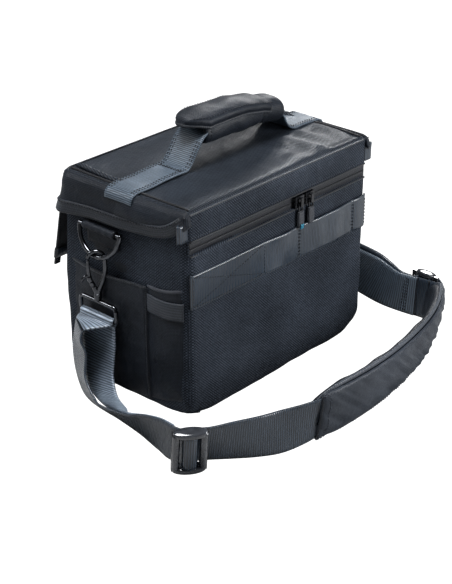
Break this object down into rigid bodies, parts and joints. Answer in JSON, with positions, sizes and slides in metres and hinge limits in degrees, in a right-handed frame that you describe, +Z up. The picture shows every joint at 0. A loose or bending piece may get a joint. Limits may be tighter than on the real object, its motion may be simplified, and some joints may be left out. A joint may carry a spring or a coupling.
{
  "type": "telescope carry case",
  "caption": "Padded black carry case with a lid that opens away from the wearer, zipped front pocket, side pockets, hand grip and shoulder strap with hooks.",
  "frame": {"origin": "centre of the case's flat bottom, on the ground", "axes": "+X to the right along the front, +Y from the front to the rear, +Z up"},
  "size_m": [0.4562, 0.3462, 0.295],
  "materials": {
    "ballistic": "coarse black ballistic weave, slight sheen",
    "ribbed": "fine ribbed black fabric",
    "soft_black": "smooth black padded fabric",
    "webbing": "blue-grey ribbed nylon webbing with sheen",
    "binding": "woven edge binding",
    "zip_tape": "black zip tape with coil",
    "elastic": "dull elastic",
    "lining": "grey brushed lining",
    "foam": "closed cell foam",
    "board": "stiff base board",
    "gunmetal": "polished gunmetal plating",
    "black_metal": "black lacquered zip hardware",
    "adjuster_black": "moulded black plastic"
  },
  "bodies": {
    "root": {"shell": "ballistic", "front_panel": "ballistic", "front_band": "ballistic", "front_zip_tape": "zip_tape", "front_webbing": "webbing", "foam_walls": "foam", "base_board": "board", "base_pad": "foam", "lining": "lining", "divider_left": "lining", "divider_right": "lining", "pocket_panel_left": "soft_black", "pocket_panel_right": "soft_black", "pocket_gusset_left": "soft_black", "pocket_gusset_right": "soft_black", "side_band_left": "elastic", "side_band_right": "elastic", "ring_patch_left": "soft_black", "ring_patch_right": "soft_black", "ring_roll_left": "soft_black", "ring_roll_right": "soft_black", "corner_tab_left": "webbing", "corner_tab_right": "webbing", "main_zip_tape": "zip_tape", "zip_tail_left": "zip_tape", "zip_tail_right": "zip_tape", "strap_left": "webbing", "strap_return_left": "webbing", "strap_front": "webbing", "strap_right": "webbing", "strap_return_right": "webbing", "shoulder_pad": "soft_black", "pad_sleeve": "soft_black"},
    "lid": {"lid_top": "ribbed", "lid_lining": "lining", "skirt_left": "soft_black", "skirt_right": "soft_black", "skirt_rear": "soft_black", "binding_left": "binding", "binding_right": "binding", "handle_webbing": "webbing", "handle_grip": "soft_black"},
    "grip_flap": {"grip_flap": "soft_black"},
    "front_slider_left": {"front_slider_left": "black_metal"},
    "front_slider_right": {"front_slider_right": "black_metal"},
    "front_pull_left": {"front_pull_left": "black_metal"},
    "front_pull_right": {"front_pull_right": "black_metal"},
    "main_slider": {"main_slider": "black_metal"},
    "main_pull": {"main_pull": "black_metal"},
    "ring_left": {"ring_left": "gunmetal", "hook_left": "gunmetal"},
    "ring_right": {"ring_right": "gunmetal", "hook_right": "gunmetal"},
    "gate_left": {"gate_left": "gunmetal"},
    "gate_right": {"gate_right": "gunmetal"},
    "hook_base_left": {"hook_base_left": "gunmetal"},
    "hook_base_right": {"hook_base_right": "gunmetal"},
    "adjuster_left": {"adjuster_left": "adjuster_black"},
    "adjuster_right": {"adjuster_right": "adjuster_black"}
  },
  "joints": [
    {"name": "lid_hinge", "type": "hinge", "parent": "root", "child": "lid", "pos_m": [0, -0.088, 0.2285], "axis": [1, 0, 0], "range_deg": [0, 180]},
    {"name": "flap_hinge", "type": "hinge", "parent": "lid", "child": "grip_flap", "pos_m": [0, 0.0241, 0.274], "axis": [-1, 0, 0], "range_deg": [0, 150]},
    {"name": "front_slide_left", "type": "slide", "parent": "root", "child": "front_slider_left", "axis": [-1, 0, 0], "range_m": [0, 0.14]},
    {"name": "front_slide_right", "type": "slide", "parent": "root", "child": "front_slider_right", "axis": [1, 0, 0], "range_m": [0, 0.085]},
    {"name": "front_pull_left_hinge", "type": "hinge", "parent": "front_slider_left", "child": "front_pull_left", "pos_m": [0.025, -0.0932, 0.1961], "axis": [-1, 0, 0], "range_deg": [0, 140]},
    {"name": "front_pull_right_hinge", "type": "hinge", "parent": "front_slider_right", "child": "front_pull_right", "pos_m": [0.042, -0.0932, 0.1961], "axis": [-1, 0, 0], "range_deg": [0, 140]},
    {"name": "main_slide", "type": "slide", "parent": "root", "child": "main_slider", "axis": [0, -0.1994, 0.9799], "range_m": [0, 0.045]},
    {"name": "main_pull_hinge", "type": "hinge", "parent": "main_slider", "child": "main_pull", "pos_m": [-0.138, 0.1097, 0.14365], "axis": [1, 0, 0], "range_deg": [0, 100]},
    {"name": "ring_left_hinge", "type": "hinge", "parent": "root", "child": "ring_left", "pos_m": [-0.1535, 0.028, 0.19], "axis": [0, 1, 0], "range_deg": [0, 30]},
    {"name": "ring_right_hinge", "type": "hinge", "parent": "root", "child": "ring_right", "pos_m": [0.1535, 0.028, 0.19], "axis": [0, -1, 0], "range_deg": [0, 30]},
    {"name": "gate_left_hinge", "type": "hinge", "parent": "ring_left", "child": "gate_left", "pos_m": [-0.16534, 0.03395, 0.13822], "axis": [0.7431, 0.6691, 0], "range_deg": [0, 20], "stiffness_Nm_per_rad": 0.01, "springref_deg": -17.19},
    {"name": "gate_right_hinge", "type": "hinge", "parent": "ring_right", "child": "gate_right", "pos_m": [0.16534, 0.03395, 0.13822], "axis": [0.7431, -0.6691, 0], "range_deg": [0, 20], "stiffness_Nm_per_rad": 0.01, "springref_deg": -17.19},
    {"name": "swivel_left", "type": "hinge", "parent": "ring_left", "child": "hook_base_left", "pos_m": [-0.15999, 0.028, 0.11], "axis": [0, 0, 1], "range_deg": [-5, 5]},
    {"name": "swivel_right", "type": "hinge", "parent": "ring_right", "child": "hook_base_right", "pos_m": [0.15999, 0.028, 0.11], "axis": [0, 0, 1], "range_deg": [-5, 5]},
    {"name": "adjuster_left_slide", "type": "slide", "parent": "root", "child": "adjuster_left", "axis": [0.7771, -0.6293, 0], "range_m": [-0.008, 0.012]},
    {"name": "adjuster_right_slide", "type": "slide", "parent": "root", "child": "adjuster_right", "axis": [0.0349, 0.9994, 0], "range_m": [-0.008, 0.008]}
  ]
}
